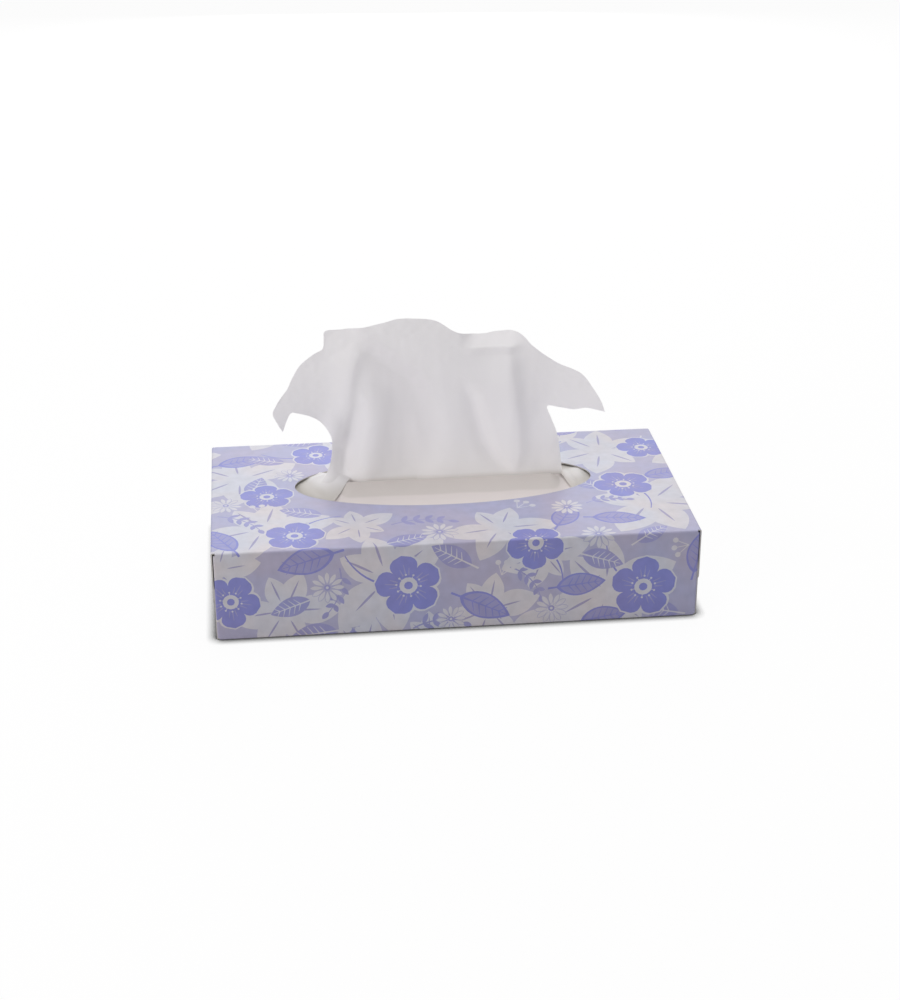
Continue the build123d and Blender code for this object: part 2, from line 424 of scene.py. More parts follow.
def outlined_leaf(length):
    """A pointed leaf drawn in dark lines."""
    inner = turned(leaf_blade(0.86 * length), 0, at=(0.07 * length, 0))
    return [("flower", leaf_blade(length)), ("leaf", inner), *leaf_veins(length, "flower")]


def stem(length):
    """A bare bowed stem."""
    return [("flower", bowed_stroke(length, 0.16 * length, 0.04 * length, steps=12))]


def foliage(radius, lobes=6):
    """A pale spray of broad uneven leaves from one centre, with a slit along each."""
    turns = [360 / lobes * lobe + 9 * math.sin(2.4 * lobe) for lobe in range(lobes)]
    shapes = []
    for lobe, turn in enumerate(turns):
        length = radius * (0.84 + 0.16 * math.cos(1.9 * lobe))
        shapes.append(("pale", turned(blade(length, 0.57 * length, roundness=0.85, steps=14), turn)))
    for turn in turns:
        slit = blade(0.44 * radius, 0.035 * radius, fullness=0.8, roundness=0.8, steps=6)
        shapes.append(("shade", turned(slit, turn, outward(0.2 * radius, turn))))
    return shapes


def sprig(length):
    """A bowed stem with paired leaflets and a bud at its end."""
    sag = 0.12 * length
    shapes = [("leaf", bowed_stroke(length, sag, 0.035 * length))]
    for pair in range(1, 5):
        share = pair / 5
        lean = math.degrees(math.atan(4 * sag / length * (1 - 2 * share)))
        leaflet_length = 0.26 * length * (1.1 - 0.5 * share)
        leaflet = blade(leaflet_length, 0.1 * length, fullness=0.9, roundness=0.8, steps=6)
        for side in (-1, 1):
            shapes.append(("leaf", turned(leaflet, lean + side * 48, on_stem(length, sag, share))))
    bud = blade(0.2 * length, 0.11 * length, roundness=0.7, steps=6)
    shapes.append(("leaf", turned(bud, -26, at=(0.98 * length, 0))))
    return shapes


def berries(size):
    """Three dots on short stalks."""
    shapes = []
    stalk = stroke((0, 0), (size, 0), 0.07 * size, 0.05 * size)
    berry = disc(0.2 * size, steps=9, centre=(size, 0))
    for turn in (-34, 0, 34):
        shapes.append(("pale", turned(stalk, turn)))
        shapes.append(("pale", turned(berry, turn)))
    return shapes


# Each motif: kind, size, place along the carton, place round it from the top's front
# fold (below zero is the front panel), and turn in degrees. Later ones lie on top. The
# layout fills half of the way round, front and top, and is repeated on bottom and back.
layout = (
    (foliage, 36, -90, 24, 12),
    (foliage, 35, -34, -17, 40),
    (foliage, 29, 21, 13, 5),
    (foliage, 36, 70, -29, 22),
    (foliage, 38, 97, 34, 50),
    (foliage, 33, -101, 82, 31),
    (foliage, 29, -46, 111, 10),
    (foliage, 28, 24, 113, 44),
    (foliage, 33, 84, 98, 18),
    (foliage, 27, -82, -31, 0),
    (foliage, 25, 14, -36, 14),
    (foliage, 21, -46, 23, 33),
    (foliage, 22, 40, -8, 12),
    (foliage, 18, -14, 120, 26),
    (foliage, 20, -112, -8, 8),
    (foliage, 27, 131, 92, 20),
    (foliage, 24, 132, 24, 45),
    (foliage, 26, -130, 48, 10),
    (foliage, 23, -133, 112, 5),
    (stem, 34, -24, -21, 150),
    (stem, 30, 88, -28, 128),
    (stem, 30, -76, 15, 40),
    (stem, 28, 36, -2, -62),
    (stem, 30, 88, 56, -74),
    (stem, 28, -62, 108, 172),
    (outlined_leaf, 28, -58, -2, 196),
    (outlined_leaf, 26, -104, 2, 118),
    (outlined_leaf, 27, 0, -28, -26),
    (outlined_leaf, 26, 48, 12, 62),
    (outlined_leaf, 26, 66, 20, -8),
    (outlined_leaf, 25, 100, 64, 14),
    (outlined_leaf, 26, -112, 100, 18),
    (outlined_leaf, 24, 112, -22, 78),
    (outlined_leaf, 24, 46, -26, 6),
    (outlined_leaf, 22, 136, 66, 200),
    (outlined_leaf, 23, -126, 20, 100),
    (leaf, 22, -62, 36, 158),
    (leaf, 22, -34, 2, 18),
    (leaf, 22, 6, -12, 150),
    (leaf, 21, 58, -9, -18),
    (leaf, 19, 84, -4, 34),
    (leaf, 21, 78, 52, 140),
    (leaf, 22, -96, 62, 74),
    (leaf, 21, -78, 100, 160),
    (leaf, 20, -22, 104, 20),
    (leaf, 22, 50, 103, 158),
    (leaf, 20, 108, 112, 250),
    (leaf, 20, -70, -26, 200),
    (leaf, 22, -58, -43, 186),
    (leaf, 20, 106, -43, 168),
    (outlined_leaf, 23, 58, -45, 10),
    (leaf, 20, 122, 42, 40),
    (leaf, 21, -136, 68, 50),
    (sprig, 26, -112, 40, -40),
    (sprig, 28, -30, 22, 4),
    (sprig, 21, 66, 36, 8),
    (sprig, 24, -110, -12, -72),
    (sprig, 26, -26, 112, 154),
    (sprig, 22, 0, 119, -12),
    (sprig, 26, 66, 112, 196),
    (sprig, 24, -56, -10, -104),
    (sprig, 22, 24, -14, -48),
    (sprig, 24, -22, -44, 4),
    (blossom, 14.5, -76, 15, 8),
    (blossom, 16, -24, -21, 30),
    (blossom, 14, 36, -2, 50),
    (blossom, 16, 88, -28, 14),
    (blossom, 14, -107, -25, 60),
    (blossom, 13.5, -88, 60, 20),
    (blossom, 15, 88, 56, 40),
    (blossom, 13, -62, 108, 5),
    (blossom, 13.5, 36, 108, 64),
    (blossom, 13, 106, 100, 28),
    (blossom, 12.5, 128, 52, 10),
    (blossom, 12.5, -129, 88, 30),
    (daisy, 8, -62, -20, 0),
    (daisy, 9, -8, 12, 10),
    (daisy, 8, 44, -37, 4),
    (daisy, 8.5, 66, 2, 0),
    (daisy, 8, -108, 52, 14),
    (daisy, 7.5, -76, 84, 0),
    (daisy, 7.5, -2, 106, 11),
    (daisy, 8, 56, 33, 7),
    (daisy, 7, -4, -40, 3),
    (daisy, 8, 134, 6, 3),
    (daisy, 7.5, 122, 116, 3),
    (daisy, 8, -128, 4, 3),
    (berries, 8, -92, 42, 80),
    (berries, 8, 32, 34, 50),
    (berries, 7, 109, -7, 190),
    (berries, 7, -50, -36, 250),
    (berries, 7, 20, -18, 70),
    (berries, 8, 60, 112, 100),
    (berries, 7, 138, 40, 90),
)


# Blank: its outline, its fold lines and the way that it folds round the carton


def rectangle(low_u, high_u, low_s, high_s):
    """A rectangle of the blank."""
    return [(low_u, low_s), (high_u, low_s), (high_u, high_s), (low_u, high_s)]


def rounded_flap(side, end, middle_s):
    """An end flap of the blank, with its two free corners rounded."""
    outline = [(side * sleeve_end, middle_s - flap_half_width)]
    for corner in (-1, 1):
        centre = (end - flap_corner_radius, middle_s + corner * (flap_half_width - flap_corner_radius))
        for step in range(fold_steps + 1):
            turn = math.pi / 2 * step / fold_steps
            along, across = math.cos(turn), math.sin(turn)
            if corner < 0:
                along, across = math.sin(turn), -math.cos(turn)
            u = side * (centre[0] + flap_corner_radius * along)
            outline.append((u, centre[1] + flap_corner_radius * across))
    outline.append((side * sleeve_end, middle_s + flap_half_width))
    return outline if side > 0 else outline[::-1]


def blank_outlines():
    """The printed blank, in pieces that share edges: sleeve, end flaps and dust strips."""
    upper_end = upper_face - 2 * fold_radius + fold_arc + upper_flap_drop
    lower_end = lower_face - 2 * fold_radius + fold_arc + lower_flap_rise
    strip_end = dust_face - fold_radius + fold_arc + dust_strip
    outlines = [rectangle(-sleeve_end, sleeve_end, -half_round, half_round)]
    for side in (-1, 1):
        outlines.append(rounded_flap(side, upper_end, panel_middles["top"]))
        outlines.append(rounded_flap(side, lower_end, panel_middles["bottom"]))
        for middle in (panel_middles["front"], panel_middles["back"]):
            ends = sorted((side * sleeve_end, side * strip_end))
            outlines.append(rectangle(*ends, middle - dust_half_width, middle + dust_half_width))
    return outlines


def opening_outline(steps=96):
    """The oval opening in the top panel."""
    turns = [2 * math.pi * step / steps for step in range(steps)]
    middle = panel_middles["top"] + opening_offset
    return [
        (opening_half_length * math.cos(turn), middle + opening_half_width * math.sin(turn))
        for turn in turns
    ]


def fold_lines():
    """Lines along which the blank bends, close together across each fold."""
    lines = []
    front_top, back_top = 0.0, flat_depth + fold_arc
    for fold in (-half_round, -half_round + flat_depth + fold_arc, front_top, back_top, half_round):
        for step in range(fold_steps + 1):
            s = fold + fold_arc * (step / fold_steps - 0.5)
            if abs(s) < half_round:
                lines.append(((-sleeve_end, s), (sleeve_end, s)))
    for face, panel, half in (
        (upper_face, "top", flap_half_width),
        (lower_face, "bottom", flap_half_width),
        (dust_face, "front", dust_half_width),
        (dust_face, "back", dust_half_width),
    ):
        for side in (-1, 1):
            for step in range(fold_steps + 1):
                u = side * (face - fold_radius + fold_arc * step / fold_steps)
                lines.append(((u, panel_middles[panel] - half), (u, panel_middles[panel] + half)))
    return lines


def round_sleeve(s):
    """Place in Y and Z of a point s round the sleeve, and the angle of its normal."""
    nothing_left = 1e-9
    left = (s + fold_arc / 2) % (2 * half_round)
    for turn, (side_y, side_z) in enumerate(((-1, 1), (1, 1), (1, -1), (-1, -1))):
        y = side_y * (carton_depth / 2 - fold_radius)
        z = carton_height / 2 + side_z * (carton_height / 2 - fold_radius)
        arriving = math.pi - turn * math.pi / 2
        bend = min(left, fold_arc)
        angle = arriving - bend / fold_radius
        left -= bend
        straight = min(left, (flat_depth, flat_height)[turn % 2])
        y += fold_radius * math.cos(angle) + straight * math.sin(angle)
        z += fold_radius * math.sin(angle) - straight * math.cos(angle)
        left -= straight
        if left <= nothing_left:
            return y, z, angle
    return y, z, angle


def on_carton(u, s):
    """The point of the carton's face, in metres, that the blank's point folds to."""
    nearly_level = 0.9
    y, z, angle = round_sleeve(s)
    normal = Vector((0, math.cos(angle), math.sin(angle)))
    face = upper_face if normal.z > nearly_level else lower_face if normal.z < -nearly_level else dust_face
    over = abs(u) - (face - fold_radius)
    side = math.copysign(1, u)
    if over <= 0:
        point, outward_normal = Vector((u, y, z)), normal
    else:
        bend = min(over / fold_radius, math.pi / 2)
        outward_normal = normal * math.cos(bend) + Vector((side, 0, 0)) * math.sin(bend)
        centre = Vector((side * (face - fold_radius), y, z)) - normal * fold_radius
        point = centre + outward_normal * fold_radius - normal * max(over - fold_arc, 0)
    return (point + outward_normal * print_lift) * MM


def printed_blank():
    """The blank cut into triangles along every motif, as points, triangles and inks."""
    shapes = [("blank", outline) for outline in blank_outlines()]
    shapes.append(("hole", opening_outline()))
    for kind, size, u, s, turn in layout:
        for ink, outline in kind(size):
            for shift in (-half_round, 0, half_round):
                moved = turned(outline, turn, (u, s + shift))
                if min(abs(y) for x, y in moved) < half_round:
                    shapes.append((ink, moved))
    points, faces, edges = [], [], []
    for ink, outline in shapes:
        faces.append(list(range(len(points), len(points) + len(outline))))
        points += [Vector(p) for p in outline]
    for start, end in fold_lines():
        edges.append((len(points), len(points) + 1))
        points += [Vector(start), Vector(end)]
    triangles_of_hull, merge_distance = 0, 1e-5
    cut = delaunay_2d_cdt(points, edges, faces, triangles_of_hull, merge_distance)
    cut_points, _, triangles, _, _, origins = cut
    kept, kept_inks = [], []
    for triangle, origin in zip(triangles, origins):
        names = [shapes[index][0] for index in sorted(origin)]
        if "blank" in names and "hole" not in names:
            drawn = [name for name in names if name != "blank"]
            kept.append(triangle)
            kept_inks.append(drawn[-1] if drawn else "ground")
    return cut_points, kept, kept_inks


def carton_print():
    """A thin printed skin on the carton's outer faces."""
    points, triangles, triangle_inks = printed_blank()
    used = sorted({corner for triangle in triangles for corner in triangle})
    number = {corner: index for index, corner in enumerate(used)}
    mesh = bpy.data.meshes.new("carton_print")
    mesh.from_pydata(
        [on_carton(*points[corner]) for corner in used],
        [],
        [[number[corner] for corner in triangle] for triangle in triangles],
    )
    names = list(inks)
    for name in names:
        mesh.materials.append(print_material("print_" + name, inks[name]))
    mesh.polygons.foreach_set("material_index", [names.index(ink) for ink in triangle_inks])
    return new_object("carton_print", mesh)


# Tissues


def grid_mesh(name, grids, material, doubled_and_shaded_shares=None):
    """One object of grids of points in millimetres, which aren't joined to each other.
    Where the shares say how far the first grid lies double and in painted shade, the others all do so fully,
    which paints shade on them."""
    vertices, faces = [], []
    for grid in grids:
        rows, columns = grid.shape[:2]
        first = len(vertices)
        vertices += (grid.reshape(-1, 3) * MM).tolist()
        for row in range(rows - 1):
            for column in range(columns - 1):
                corner = first + row * columns + column
                faces.append((corner, corner + 1, corner + columns + 1, corner + columns))
    mesh = bpy.data.meshes.new(name)
    mesh.from_pydata(vertices, [], faces)
    mesh.shade_smooth()
    mesh.materials.append(material)
    if doubled_and_shaded_shares is not None:
        shares = np.ones(len(vertices))
        shares[:doubled_and_shaded_shares.size] = doubled_and_shaded_shares.ravel()
        mesh.attributes.new("doubled_and_shaded", "FLOAT", "POINT").data.foreach_set("value", shares)
    return new_object(name, mesh)


def blended(t, start, end, first, second):
    """From first to second as t goes from start to end."""
    return (end - t) / (end - start) * first + (t - start) / (end - start) * second


def curve_through(points, count, steps_between=24):
    """Evenly spaced points of a smooth curve through the given ones."""
    points = np.array(points, float)
    ends = np.vstack([2 * points[0] - points[1], points, 2 * points[-1] - points[-2]])
    knots = np.concatenate([[0], np.cumsum(np.linalg.norm(np.diff(ends, axis=0), axis=1) ** 0.5)])
    dense = []
    for k in range(1, len(ends) - 2):
        t0, t1, t2, t3 = knots[k - 1:k + 3]
        p0, p1, p2, p3 = ends[k - 1:k + 3]
        for t in np.linspace(t1, t2, steps_between, endpoint=False):
            a1 = blended(t, t0, t1, p0, p1)
            a2 = blended(t, t1, t2, p1, p2)
            a3 = blended(t, t2, t3, p2, p3)
            b1 = blended(t, t0, t2, a1, a2)
            b2 = blended(t, t1, t3, a2, a3)
            dense.append(blended(t, t1, t2, b1, b2))
    dense = np.array([*dense, points[-1]])
    run = np.concatenate([[0], np.cumsum(np.linalg.norm(np.diff(dense, axis=0), axis=1))])
    wanted = np.linspace(0, run[-1], count)
    return np.stack([np.interp(wanted, run, dense[:, axis]) for axis in range(dense.shape[1])], axis=1)


def distance_to_line(x, z, line):
    """Distance of points from an open line, above zero on its right-hand side."""
    best, signed = np.full(x.shape, np.inf), np.zeros(x.shape)
    for (x0, z0), (x1, z1) in zip(line, line[1:]):
        dx, dz = x1 - x0, z1 - z0
        share = np.clip(((x - x0) * dx + (z - z0) * dz) / (dx * dx + dz * dz), 0, 1)
        away = np.hypot(x - x0 - share * dx, z - z0 - share * dz)
        side = np.sign((x - x0) * -dz + (z - z0) * dx)
        nearer = away < best
        best = np.where(nearer, away, best)
        signed = np.where(nearer, -side * away, signed)
    return signed


def wrinkles(x, z, scale_x, scale_z, seed):
    """Smooth noise from -1 to 1 by place."""
    flat = [noise.noise((a * scale_x, b * scale_z, seed)) for a, b in zip(x.ravel(), z.ravel())]
    return np.array(flat).reshape(x.shape)


# Edges of the standing part, as x and z: its two sides from the opening up, and its hem
# from the left corner to the right one.
left_side = (
    (-66, 43.2), (-61.5, 45.8), (-58.2, 49.6), (-56, 54.5), (-54.9, 61), (-55.2, 69.6), (-59.1, 76),
    (-64.5, 80.4), (-70.9, 83.1), (-74.3, 83.9), (-76.6, 80.5), (-78.8, 75),
)
right_side = (
    (61, 43.2), (60.2, 47), (59.7, 51.9), (57.4, 66), (54.6, 73.5), (52.7, 79.6), (58.5, 79.4),
    (64.9, 78.9), (71.2, 80.6), (79.7, 79.8),
)
hem = (
    (-78.8, 75), (-81.2, 79.6), (-83.3, 85), (-79.8, 90.2), (-75.9, 95.4), (-72.6, 101.8), (-69, 107),
    (-64.6, 110.4), (-58, 114), (-57.2, 118.7), (-57, 122.3), (-55.6, 123.2), (-50, 123.4), (-42.7, 124.5),
    (-29.9, 127.4), (-21.3, 129.3), (-14.9, 129.1), (-3.1, 127.2), (5.5, 121.5), (12.4, 118.7),
    (19.6, 117.6), (29, 118.4), (38.6, 117.9), (44.7, 111.9), (51.4, 106.6), (58, 102.3), (68.7, 97.7),
    (74.1, 91), (78, 84.6), (79.7, 79.8),
)

# Foot of the standing part, and its wings: where they start, how far they reach to the
# left, and how far they hang forward.
foot_y = 14.5
foot_z = 43.0
wing_start = 58.0
wing_reach = 83.3
wing_lean = 7.92

# Folds of the standing part: the line's points as x and z from its top down, how far it
# stands forward of the sheet (below zero is a valley), and its width to left and right.
folds = (
    (((-40, 118), (-44, 107), (-46.5, 95), (-47, 84), (-50.5, 68)), 3.2, 7.0, 3.4),
    (((-44.5, 88), (-47, 72), (-48.5, 58), (-49.5, 47)), -2.0, 4.6, 4.4),
    (((-40, 98), (-35.5, 87), (-34.5, 76), (-37.5, 62), (-41.5, 45)), 2.6, 4.5, 8.5),
    (((-24, 98), (-21, 80), (-19, 62), (-18, 45)), -1.6, 9.0, 9.0),
    (((3, 88), (4, 72), (2, 58), (0, 45)), 1.8, 8.0, 8.0),
    (((11, 96), (15, 86), (18.5, 72), (22, 60), (27, 52), (32, 45)), -2.3, 4.2, 3.6),
    (((32.5, 114), (33.5, 98), (35.5, 82), (37, 68), (37.5, 57), (35.5, 45)), 3.2, 8.0, 4.2),
    (((39, 110), (40, 96), (42, 82), (44, 66)), -0.6, 3.0, 6.0),
    (((-54, 84), (-55, 70), (-55.2, 58), (-56, 48)), 1.3, 2.6, 3.0),
    (((55, 92), (50, 82), (49, 74)), -0.8, 3.0, 3.5),
    (((54.4, 72), (54.6, 60), (56.6, 47)), 1.2, 3.4, 3.0),
)
# Lower edge of the smooth dome at the top, from its left end.
dome_edge = (
    (-44, 124), (-41, 120), (-36, 114.5), (-30, 109.5), (-22, 103.5), (-15.5, 98), (-11.5, 91), (-9.5, 82),
    (-9.5, 72), (-11, 60),
)
# Left edge of the part below the dome that lies double and in painted shade, from its top down.
doubled_and_shaded_left = ((-43, 122), (-41, 108), (-39, 97), (-34.5, 87), (-33.5, 76), (-36.5, 62), (-40.5, 45))
# Edge of the part at the upper left that is turned back, from its right end.
turned_back_edge = (
    (-26, 130), (-28.9, 126.7), (-37.2, 122.9), (-41, 120.5), (-45.5, 116), (-51, 112), (-58, 107.5),
    (-70, 102),
)


def fold_depth(x, z, line, height, left_width, right_width):
    """One fold of the standing part, round along its line and fading out at its ends."""
    crest_radius, flank_power = 1.2, 1.6
    xs, zs = zip(*line[::-1])
    away = x - np.interp(z, zs, xs)
    rounded = np.sqrt(away**2 + crest_radius**2) - crest_radius
    width = np.where(away < 0, left_width, right_width)
    fade = window(z, (zs[0] - 8, zs[0] + 2), (zs[-1] - 13, zs[-1] + 3))
    return height * np.exp(-((rounded / width) ** flank_power)) * fade


def wing_droop(x, z):
    """How far the wings hang forward: the right one more, and their lower corners most."""
    left_share, right_share, height_share = 0.6, 1.0, 0.6
    by_side = np.where(x < 0, left_share, right_share)
    by_height = height_share * np.clip((98 - z) / 20, -1, 1)
    return wing_lean * (by_side + by_height) * smooth_step(wing_start - 6, wing_reach + 6, np.abs(x))


def dome_bulge(x, z):
    """How far the smooth dome at the top stands forward, most just above its lower edge."""
    bulge = 3.4
    above = -distance_to_line(x, z, dome_edge)
    return bulge * window(above, (-3, 8), (8, 46)) * smooth_step(72, 100, z) * smooth_step(-48, -43, x)


def turn_back(x, z):
    """How far back the upper left lies, which is turned back along a crease and faces up."""
    crease, slope, reach = 0.5, 0.22, 9
    behind = distance_to_line(x, z, turned_back_edge)
    at_left = window(x, (-66, -54), (-34, -24))
    return (crease * bell(behind, 0, 1.8) + slope * np.clip(behind, 0, reach)) * at_left


def hem_roll(x, z):
    """A stretch of the hem that is rolled back, over a small overhang."""
    crest_z, overhang, slope = 112, 1.0, 0.8
    roll = overhang * smooth_step(crest_z - 4.5, crest_z, z) - slope * np.maximum(z - crest_z, 0)
    return roll * window(x, (8, 17), (33, 42))


def lean_back(x, z):
    """How far back the sheet leans below that stretch of the hem."""
    slope, start_z, reach = 0.12, 94, 14
    return slope * np.clip(z - start_z, 0, reach) * window(x, (-2, 26), (34, 50))


def crumple(x, z):
    """Unevenness of the whole sheet, finer and deeper in the wings and at the hem."""
    at_edges = smooth_step(50, 60, np.abs(x)) + smooth_step(100, 116, z)
    broad = 0.5 * wrinkles(x, z, 0.07, 0.035, 3.1)
    fine = 0.16 * wrinkles(x, z, 0.22, 0.12, 7.7)
    return broad + fine + 0.22 * wrinkles(x, z, 0.3, 0.3, 1.3) * at_edges


def foot_valley(x, z):
    """Depth of the valley that runs down into the foot's left end."""
    depth, width, slant = 2.0, 3.6, 0.1
    line = -46.8 - slant * (72 - z)
    return depth * bell(x, line, width) * window(z, (44, 49), (50, 70))


def foot_spread(x, z):
    """How far the foot spreads forward. Its left end runs into the lying part."""
    spread, left_spread = 1.2, 8.5
    top_z, left_top_z = 60, 57
    whole = np.clip((top_z - z) / (top_z - foot_z), 0, 1) ** 2
    at_left = np.clip((left_top_z - z) / (left_top_z - foot_z), 0, 1) ** 3 * (1 - smooth_step(-53, -45, x))
    return spread * whole + left_spread * at_left


def standing_depth(x, z):
    """How far forward of the opening's line the standing part lies."""
    forward = wing_droop(x, z) + dome_bulge(x, z) + hem_roll(x, z) + crumple(x, z)
    forward = forward - turn_back(x, z) - lean_back(x, z)
    for fold in folds:
        forward = forward + fold_depth(x, z, *fold)
    clear_of_foot = smooth_step(foot_z - 3, foot_z + 9, z)
    return forward * clear_of_foot - foot_valley(x, z) + foot_spread(x, z)


def doubled_and_shaded(x, z):
    """From 0 to 1, how far the sheet lies double, so that less light comes through. Its places follow where
    the folds lie in shade: below the dome's edge, beside the right fold, in the left valley and at the low
    corners. So it also paints that shade.
    """
    xs, zs = zip(*doubled_and_shaded_left[::-1])
    from_left = x - np.interp(z, zs, xs)
    below_dome = 1 - smooth_step(3, 11, -distance_to_line(x, z, dome_edge))
    middle = below_dome * smooth_step(-1, 7, from_left) * (1 - smooth_step(-13, 3, x))
    right_fold = 0.5 * window(x, (32, 35), (44, 60)) * window(z, (60, 90), (111, 114))
    low_right = 0.6 * smooth_step(42, 50, x) * (1 - smooth_step(56, 74, z))
    low_left = 0.35 * (1 - smooth_step(-50, -43, x)) * (1 - smooth_step(66, 82, z))
    # Painted shade along the valley that runs into the foot's left end.
    valley = bell(x, -47.5, 3.5) * (1 - 0.4 * smooth_step(56, 66, z)) * (1 - smooth_step(72, 86, z))
    return np.clip(middle + right_fold + low_right + low_left + valley, 0, 1)


def standing_part(columns=230, rows=150):
    """The part drawn up out of the opening, its edges blended into one surface, and how
    far it lies double and in painted shade at each point."""
    across = np.linspace(0, 1, columns)[None, :, None]
    up = np.linspace(0, 1, rows)[:, None, None]
    left, right = (curve_through(side, rows)[:, None, :] for side in (left_side, right_side))
    foot = np.linspace(left[0, 0], right[0, 0], columns)[None]
    top = curve_through(hem, columns)[None]
    corners = (
        (1 - across) * (1 - up) * foot[:, :1] + across * (1 - up) * foot[:, -1:]
        + (1 - across) * up * top[:, :1] + across * up * top[:, -1:]
    )
    flat = (1 - up) * foot + up * top + (1 - across) * left + across * right - corners
    x, z = flat[..., 0], flat[..., 1]
    return np.stack([x, foot_y - standing_depth(x, z), z], axis=2), doubled_and_shaded(x, z)


# Lying part of the drawn tissue: its upper leg lies round the foot of the standing part,
# and its lower leg lies below the next tissue, leg_gap further down.
sheet_half_width = 100.0
lap_back = 51.7
skirt_front = -10.7
skirt_z = 43.05
lower_leg_front = -26.0
leg_gap = 1.1
# Skirts in front of the foot: side, and how far each one's inner edge lies from the
# middle at the foot and at the skirt's front.
skirts = ((-1, 46, 57), (1, 59.5, 64))


def skirt_height(x, y):
    """Height of the lying part, with a mound on each side where it turns up into the foot."""
    left_height, right_height, crease_height, deepest = 5.2, 2.2, 0.8, -0.3
    from_foot = np.minimum(x + 59, 0) / 8
    left_mound = left_height * np.exp(-(from_foot**2) - (np.abs(y - foot_y) / 9) ** 1.3)
    left_mound = left_mound * (1 - smooth_step(-53, -38, x))
    right_mound = right_height * bell(x, 68, 7) * bell(y, 11, 9)
    crease = crease_height * bell(x, 61.5 + 0.25 * (foot_y - y), 1.5) * window(y, (-8, 4), (14, 20))
    at_left = smooth_step(-7, 3, y) * (1 - smooth_step(-60, -55, x))
    ripples = 0.25 * np.sin(0.75 * (x + 0.5 * y)) * at_left
    rays = 0.5 * wrinkles(x, y, 0.12, 0.03, 5.0) * smooth_step(foot_y, foot_y + 5, y)
    uneven = np.maximum(rays + 0.35 * wrinkles(x, y, 0.2, 0.16, 2.0) + ripples, deepest)
    under_card = np.clip(smooth_step(68, 76, np.abs(x)) + smooth_step(33, 38, y), 0, 1)
    return skirt_z + (left_mound + right_mound + crease + uneven) * (1 - under_card)


def upper_leg(x, y):
    """A grid of the upper leg."""
    return np.stack([x, y, skirt_height(x, y)], axis=2)


def lower_leg(fold_rows=9, leg_rows=24, columns=41):
    """The fold at the back of the pack, and the leg that runs forward from it."""
    turn = np.linspace(0, math.pi, fold_rows)
    leg_y = np.linspace(lap_back, lower_leg_front, leg_rows)[1:]
    y = np.concatenate([lap_back + leg_gap / 2 * np.sin(turn), leg_y])
    z = np.concatenate([skirt_z - leg_gap / 2 * (1 - np.cos(turn)), np.full(leg_y.shape, skirt_z - leg_gap)])
    x = np.linspace(-sheet_half_width, sheet_half_width, columns)
    return np.stack(np.broadcast_arrays(x[None], y[:, None], z[:, None]), axis=2)


def lying_part(columns=161, skirt_columns=61, rows=41):
    """Upper leg behind and beside the foot, and lower leg. They meet at the back fold."""
    whole_width = np.linspace(-sheet_half_width, sheet_half_width, columns)
    grids = [upper_leg(*np.meshgrid(whole_width, np.linspace(foot_y, lap_back, rows)))]
    for side, inner_back, inner_front in skirts:
        y = np.linspace(skirt_front, foot_y, rows)[:, None]
        share = np.linspace(0, 1, skirt_columns)[None]
        inner = inner_back + (inner_front - inner_back) * (foot_y - y) / (foot_y - skirt_front)
        x = side * (inner + (sheet_half_width - inner) * share)
        grids.append(upper_leg(x, np.broadcast_to(y, x.shape))[:, ::side])
    grids.append(lower_leg())
    return grids


# Next tissue, as y and z: its upper leg from the back, with the ridge that the drawn
# tissue has lifted, its front fold, and its lower leg.
next_upper_z = 42.36
next_lower_z = 41.28
next_profile = (
    (48.4, next_upper_z), (30, next_upper_z), (16, 42.4), (13.6, 42.7), (11.6, 43.9), (10.2, 45.2),
    (9.0, 45.7), (7.6, 45.4), (3, 44.6), (-3, 43.4), (-6.2, 42.7), (-7.5, 42.6), (-9, 42.7),
    (-14, 42.6), (-22, 42.4), (-51.7, next_upper_z), (-52.2, 42.1), (-52.3, 41.8), (-52.2, 41.5),
    (-51.7, 41.3), (-20, next_lower_z), (48.4, next_lower_z),
)


def next_sheet(rows=150, columns=141):
    """The next tissue, lifted and wrinkled only where the opening shows it."""
    profile = curve_through(next_profile, rows)
    x = np.linspace(-sheet_half_width, sheet_half_width, columns)
    in_opening = window(x, (-55, -47), (53, 61))[None]
    lifted = np.maximum(profile[:, 1:] - next_upper_z, 0)
    z = profile[:, 1:] - lifted * (1 - in_opening)
    y = np.broadcast_to(profile[:, :1], z.shape)
    x = np.broadcast_to(x[None], z.shape)
    on_upper_leg = z > (next_upper_z + next_lower_z) / 2
    seen = window(y, (-24, -14), (12, 15)) * on_upper_leg * in_opening
    z = z + np.maximum(0.2 * wrinkles(x, y, 0.06, 0.12, 9.0), -0.1) * seen
    return np.stack([x, y, z], axis=2)


# Stage: its places and sizes are in metres


